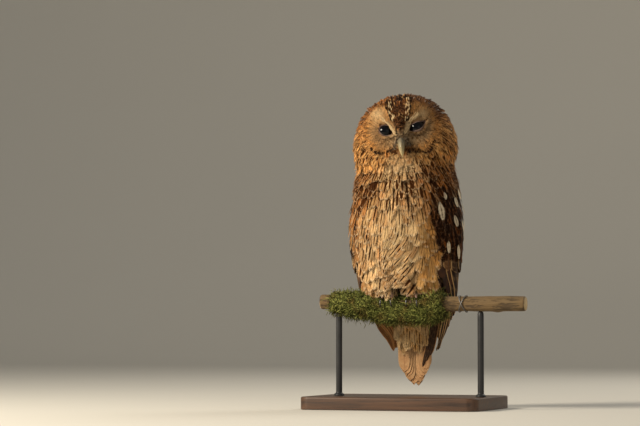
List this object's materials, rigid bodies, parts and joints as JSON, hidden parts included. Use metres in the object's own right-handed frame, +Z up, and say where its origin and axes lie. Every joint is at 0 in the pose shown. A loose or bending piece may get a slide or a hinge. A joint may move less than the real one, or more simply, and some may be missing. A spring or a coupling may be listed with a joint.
{
  "type": "tawny owl on a mossy perch",
  "caption": "Life-size still model of a tawny owl gripping a moss-wrapped branch, upright with folded wings and its head turned, held up by a plain base and two rods.",
  "frame": {"origin": "centre of the underside of the stand's base", "axes": "+Z up; the owl's body faces -Y, its left side is +X, and the perch runs along X"},
  "size_m": [0.283, 0.156, 0.4041],
  "materials": {
    "plumage": "soft matte feathers, buff and rufous with dark streaks",
    "dark_plumage": "matte flight feathers, dark brown with buff bars and white spots",
    "skin": "bare pinkish grey toe skin, slightly rough",
    "bill_horn": "satin horn, pale yellow",
    "claw_horn": "satin dark horn",
    "eye": "wet gloss, near black",
    "bark": "dry rough bark",
    "moss": "matte dry moss",
    "stand_wood": "satin dark stained wood",
    "stand_metal": "satin black"
  },
  "bodies": {
    "root": {"head": "plumage", "neck": "plumage", "trunk": "plumage", "tail": "plumage", "leg_left": "plumage", "leg_right": "plumage", "wing_left": "dark_plumage", "wing_right": "dark_plumage", "foot_left": "skin", "foot_right": "skin", "claw_left_inner_front": "claw_horn", "claw_left_outer_front": "claw_horn", "claw_left_inner_back": "claw_horn", "claw_left_outer_back": "claw_horn", "claw_right_inner_front": "claw_horn", "claw_right_outer_front": "claw_horn", "claw_right_inner_back": "claw_horn", "claw_right_outer_back": "claw_horn", "bill_upper": "bill_horn", "bill_lower": "bill_horn", "eye_left": "eye", "eye_right": "eye", "perch_branch": "bark", "perch_moss": "moss", "stand_base": "stand_wood", "stand_rod_left": "stand_metal", "stand_rod_right": "stand_metal"}
  },
  "joints": []
}
